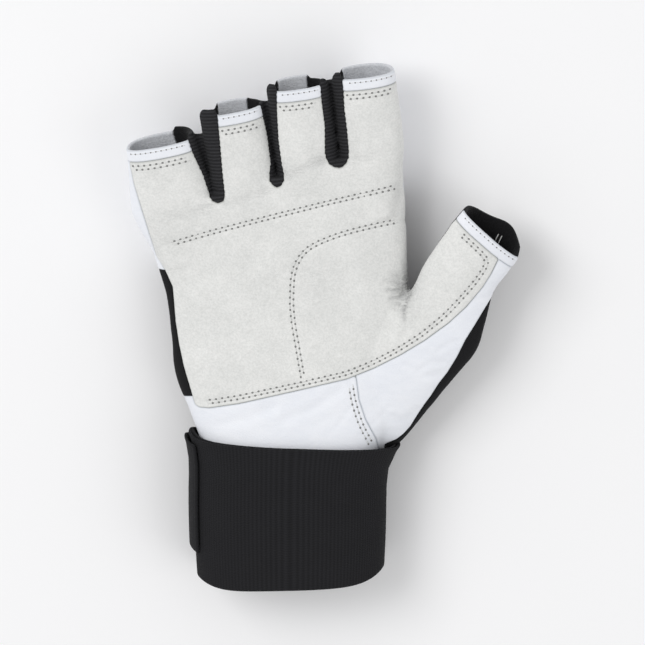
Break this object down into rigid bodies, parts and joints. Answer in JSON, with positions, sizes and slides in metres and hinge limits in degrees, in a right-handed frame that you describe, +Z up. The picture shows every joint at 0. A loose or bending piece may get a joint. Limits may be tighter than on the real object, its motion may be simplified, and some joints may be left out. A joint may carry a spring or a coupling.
{
  "type": "weightlifting glove",
  "caption": "Half-finger weightlifting glove for the right hand, lying palm up, with a suede palm, ribbed finger gussets and an elastic wrist wrap.",
  "frame": {"origin": "on the surface that the glove lies on, under the middle of its bounding box", "axes": "+Y from the wrist to the fingertips, +X to the thumb side, +Z up out of the palm"},
  "size_m": [0.165, 0.2262, 0.0379],
  "materials": {
    "suede": "soft napped suede, light grey",
    "white_leather": "smooth white leather",
    "ribbed_gusset": "black knitted ribs across the band",
    "stretch_fabric": "matte black stretch fabric",
    "elastic": "black woven elastic with ribs along the arm"
  },
  "bodies": {
    "root": {"palm_suede": "suede", "heel_leather": "white_leather", "thumb_leather": "white_leather", "knuckle_leather": "white_leather", "binding_index": "white_leather", "binding_middle": "white_leather", "binding_ring": "white_leather", "binding_little": "white_leather", "binding_thumb": "white_leather", "gusset_middle_index": "ribbed_gusset", "gusset_ring_middle": "ribbed_gusset", "gusset_little_ring": "ribbed_gusset", "back_stretch": "stretch_fabric", "wrist_wrap": "elastic", "closure_tab": "elastic"}
  },
  "joints": []
}
